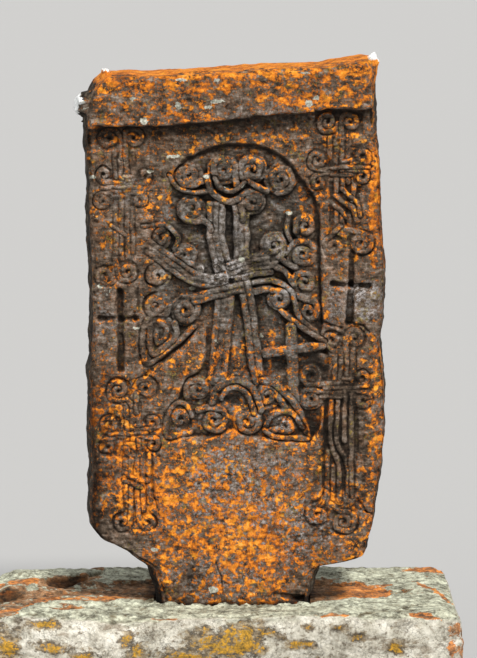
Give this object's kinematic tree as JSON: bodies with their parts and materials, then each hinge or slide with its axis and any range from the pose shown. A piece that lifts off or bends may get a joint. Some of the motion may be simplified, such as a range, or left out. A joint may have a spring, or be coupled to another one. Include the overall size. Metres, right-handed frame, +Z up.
{
  "type": "khachkar",
  "caption": "Carved stone memorial slab with a knotwork cross in an arched niche, standing by its tenon in a rough base stone.",
  "frame": {"origin": "middle of the base stone's underside", "axes": "+Z up the slab, -Y towards the viewer of the carved face, +X to that viewer's right"},
  "size_m": [1.0822, 0.4837, 1.4867],
  "materials": {
    "slab_stone": "weathered dark brown-grey volcanic stone, matt, with orange, ochre and pale lichen",
    "base_stone": "rough grey stone under a pale grey-green lichen crust, with ochre and orange spots"
  },
  "bodies": {
    "root": {"cross_stone": "slab_stone", "base_stone": "base_stone"}
  },
  "joints": []
}
